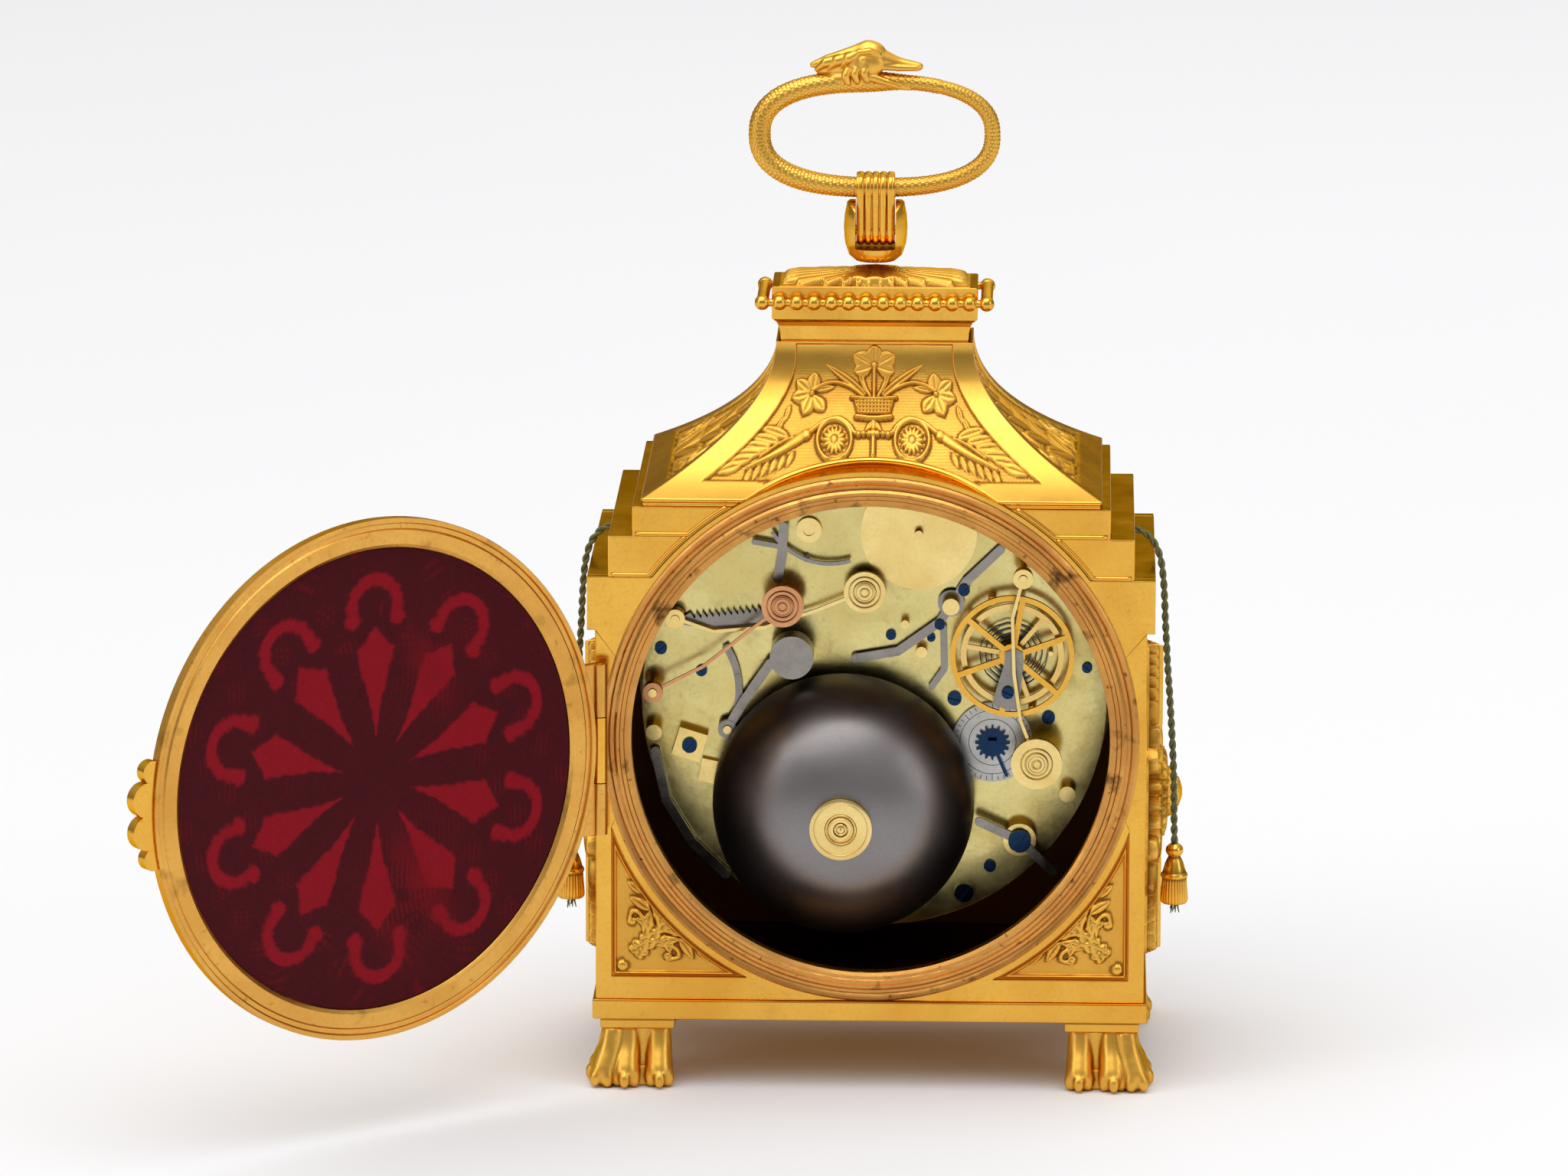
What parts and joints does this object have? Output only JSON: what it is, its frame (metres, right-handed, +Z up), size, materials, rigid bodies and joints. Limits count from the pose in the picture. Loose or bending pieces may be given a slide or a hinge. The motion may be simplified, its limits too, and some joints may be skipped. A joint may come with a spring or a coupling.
{
  "type": "carriage clock",
  "caption": "Gilt travelling clock on paw feet, seen with its arched rear door open on the bell and movement, with a pagoda roof, serpent handle and pull cords.",
  "frame": {"origin": "on the ground, under the middle of the case, midway between the four paw feet", "axes": "+Z up; -Y towards the rear (bell and door) side; +Y towards the dial; +X to the right seen from the rear"},
  "size_m": [0.2148, 0.1493, 0.2161],
  "materials": {
    "polished_gilt": "polished mercury gilding, lightly worn",
    "matt_gilt": "matt gilding on cast relief",
    "worn_gilt": "gilding worn to brown bronze",
    "pale_brass": "satin turned brass",
    "gilt_wheel": "satin gilt",
    "polished_steel": "polished steel",
    "blued_steel": "heat-blued polish",
    "bell_metal": "dark spun bell metal",
    "copper": "polished copper",
    "silvered_brass": "silvered, circular grain",
    "crimson_silk": "woven silk backing",
    "green_cord": "twisted cord",
    "white_enamel": "glossy fired enamel",
    "clear_glass": "clear domed glass"
  },
  "bodies": {
    "case": {"base_plinth": "polished_gilt", "back_panel": "polished_gilt", "front_panel": "polished_gilt", "left_panel": "polished_gilt", "right_panel": "polished_gilt", "shoulder_steps": "polished_gilt", "roof_shell": "matt_gilt", "top_plate": "polished_gilt", "bead_rails": "polished_gilt", "petal_cap": "matt_gilt", "handle_fork": "polished_gilt", "fork_pin": "polished_gilt", "paw_feet": "polished_gilt", "side_mounts": "matt_gilt", "rear_bezel": "worn_gilt", "case_hinges": "polished_gilt", "hinge_pins": "polished_gilt", "dial": "white_enamel", "dial_ring": "pale_brass", "back_plate": "pale_brass", "front_plate": "pale_brass", "plate_pillars": "pale_brass", "bell": "bell_metal", "bell_stand": "polished_steel", "bell_nut": "pale_brass", "balance_bridge": "gilt_wheel", "end_piece": "polished_steel", "regulator_disc": "silvered_brass", "steel_levers": "polished_steel", "plate_fittings": "pale_brass", "blued_screws": "blued_steel"},
    "rear_door": {"door_frame": "polished_gilt", "door_fret": "matt_gilt", "door_silk": "crimson_silk", "door_catch": "polished_gilt"},
    "front_door": {"front_bezel": "polished_gilt", "front_glass": "clear_glass"},
    "handle": {"handle_strap": "polished_gilt", "serpent_handle": "matt_gilt"},
    "going_barrel": {"going_barrel": "pale_brass"},
    "strike_barrel": {"strike_barrel": "pale_brass"},
    "centre_arbor": {"centre_wheel": "pale_brass", "minute_hand": "blued_steel"},
    "minute_wheel": {"minute_wheel": "pale_brass"},
    "hour_hand": {"hour_hand": "blued_steel"},
    "third_wheel": {"third_wheel": "pale_brass"},
    "escape_wheel": {"escape_wheel": "pale_brass"},
    "pallet_lever": {"pallet_lever": "polished_steel"},
    "balance": {"balance_wheel": "gilt_wheel", "balance_spring": "blued_steel"},
    "regulator": {"regulator_pointer": "blued_steel"},
    "hammer_copper": {"hammer_copper": "copper"},
    "hammer_brass_upper": {"hammer_brass_upper": "pale_brass"},
    "hammer_brass_lower": {"hammer_brass_lower": "pale_brass"},
    "bell_hammer": {"bell_hammer": "polished_steel"},
    "strike_rack": {"strike_rack": "polished_steel"},
    "pull_left": {"pull_cord_left": "green_cord", "tassel_left": "matt_gilt"},
    "pull_right": {"pull_cord_right": "green_cord", "tassel_right": "matt_gilt"}
  },
  "joints": [
    {"name": "rear_door_hinge", "type": "hinge", "parent": "case", "child": "rear_door", "pos_m": [-0.0562, -0.0374, 0.075], "axis": [0, 0, 1], "range_deg": [-25, 142]},
    {"name": "front_door_hinge", "type": "hinge", "parent": "case", "child": "front_door", "pos_m": [-0.0562, 0.0374, 0.075], "axis": [0, 0, 1], "range_deg": [0, 110]},
    {"name": "handle_pivot", "type": "hinge", "parent": "case", "child": "handle", "pos_m": [0, 0, 0.1767], "axis": [1, 0, 0], "range_deg": [-90, 90]},
    {"name": "going_barrel_turn", "type": "hinge", "parent": "case", "child": "going_barrel", "pos_m": [-0.01973, 0, 0.06782], "axis": [0, 1, 0], "continuous": true},
    {"name": "centre_turn", "type": "hinge", "parent": "case", "child": "centre_arbor", "pos_m": [0, 0, 0.075], "axis": [0, 1, 0], "continuous": true},
    {"name": "minute_wheel_turn", "type": "hinge", "parent": "case", "child": "minute_wheel", "pos_m": [0.0042, 0, 0.08227], "axis": [0, 1, 0], "continuous": true},
    {"name": "hour_hand_turn", "type": "hinge", "parent": "case", "child": "hour_hand", "pos_m": [0, 0, 0.075], "axis": [0, 1, 0], "continuous": true},
    {"name": "third_wheel_turn", "type": "hinge", "parent": "case", "child": "third_wheel", "pos_m": [0.01316, 0, 0.07021], "axis": [0, 1, 0], "continuous": true},
    {"name": "escape_wheel_turn", "type": "hinge", "parent": "case", "child": "escape_wheel", "pos_m": [0.01928, 0, 0.08082], "axis": [0, 1, 0], "continuous": true},
    {"name": "strike_barrel_turn", "type": "hinge", "parent": "case", "child": "strike_barrel", "pos_m": [0.004, 0, 0.046], "axis": [0, 1, 0], "continuous": true},
    {"name": "pallet_rock", "type": "hinge", "parent": "case", "child": "pallet_lever", "pos_m": [0.02429, 0, 0.08333], "axis": [0, 1, 0], "range_deg": [-8, 8]},
    {"name": "balance_swing", "type": "hinge", "parent": "case", "child": "balance", "pos_m": [0.0292, 0, 0.0858], "axis": [0, 1, 0], "range_deg": [-160, 160], "stiffness_Nm_per_rad": 0.000022},
    {"name": "regulator_turn", "type": "hinge", "parent": "case", "child": "regulator", "pos_m": [0.0251, 0, 0.0661], "axis": [0, 1, 0], "range_deg": [-30, 30]},
    {"name": "hammer_copper_lift", "type": "hinge", "parent": "case", "child": "hammer_copper", "pos_m": [-0.0466, 0, 0.078], "axis": [0, 1, 0], "range_deg": [-6, 1], "stiffness_Nm_per_rad": 0.05},
    {"name": "hammer_brass_upper_lift", "type": "hinge", "parent": "case", "child": "hammer_brass_upper", "pos_m": [-0.042, 0, 0.093], "axis": [0, 1, 0], "range_deg": [-4, 1], "stiffness_Nm_per_rad": 0.05},
    {"name": "hammer_brass_lower_lift", "type": "hinge", "parent": "case", "child": "hammer_brass_lower", "pos_m": [0.0314, 0, 0.1036], "axis": [0, 1, 0], "range_deg": [-3, 3], "stiffness_Nm_per_rad": 0.05},
    {"name": "bell_hammer_strike", "type": "hinge", "parent": "case", "child": "bell_hammer", "pos_m": [-0.031, 0, 0.069], "axis": [0, 1, 0], "range_deg": [-3, 4.5], "stiffness_Nm_per_rad": 0.1},
    {"name": "strike_rack_drop", "type": "hinge", "parent": "case", "child": "strike_rack", "pos_m": [-0.042, 0, 0.093], "axis": [0, 1, 0], "range_deg": [0, 6], "stiffness_Nm_per_rad": 0.005},
    {"name": "pull_left_slide", "type": "slide", "parent": "case", "child": "pull_left", "axis": [-1, 0, 0], "range_m": [0, 0.006], "stiffness_N_per_m": 100},
    {"name": "pull_right_slide", "type": "slide", "parent": "case", "child": "pull_right", "axis": [1, 0, 0], "range_m": [0, 0.006], "stiffness_N_per_m": 100}
  ],
  "couplings": [
    {"joint": "centre_turn", "follows": "going_barrel_turn", "ratio": -6},
    {"joint": "minute_wheel_turn", "follows": "going_barrel_turn", "ratio": 2},
    {"joint": "hour_hand_turn", "follows": "going_barrel_turn", "ratio": -0.5},
    {"joint": "third_wheel_turn", "follows": "going_barrel_turn", "ratio": 36},
    {"joint": "escape_wheel_turn", "follows": "going_barrel_turn", "ratio": -216}
  ]
}
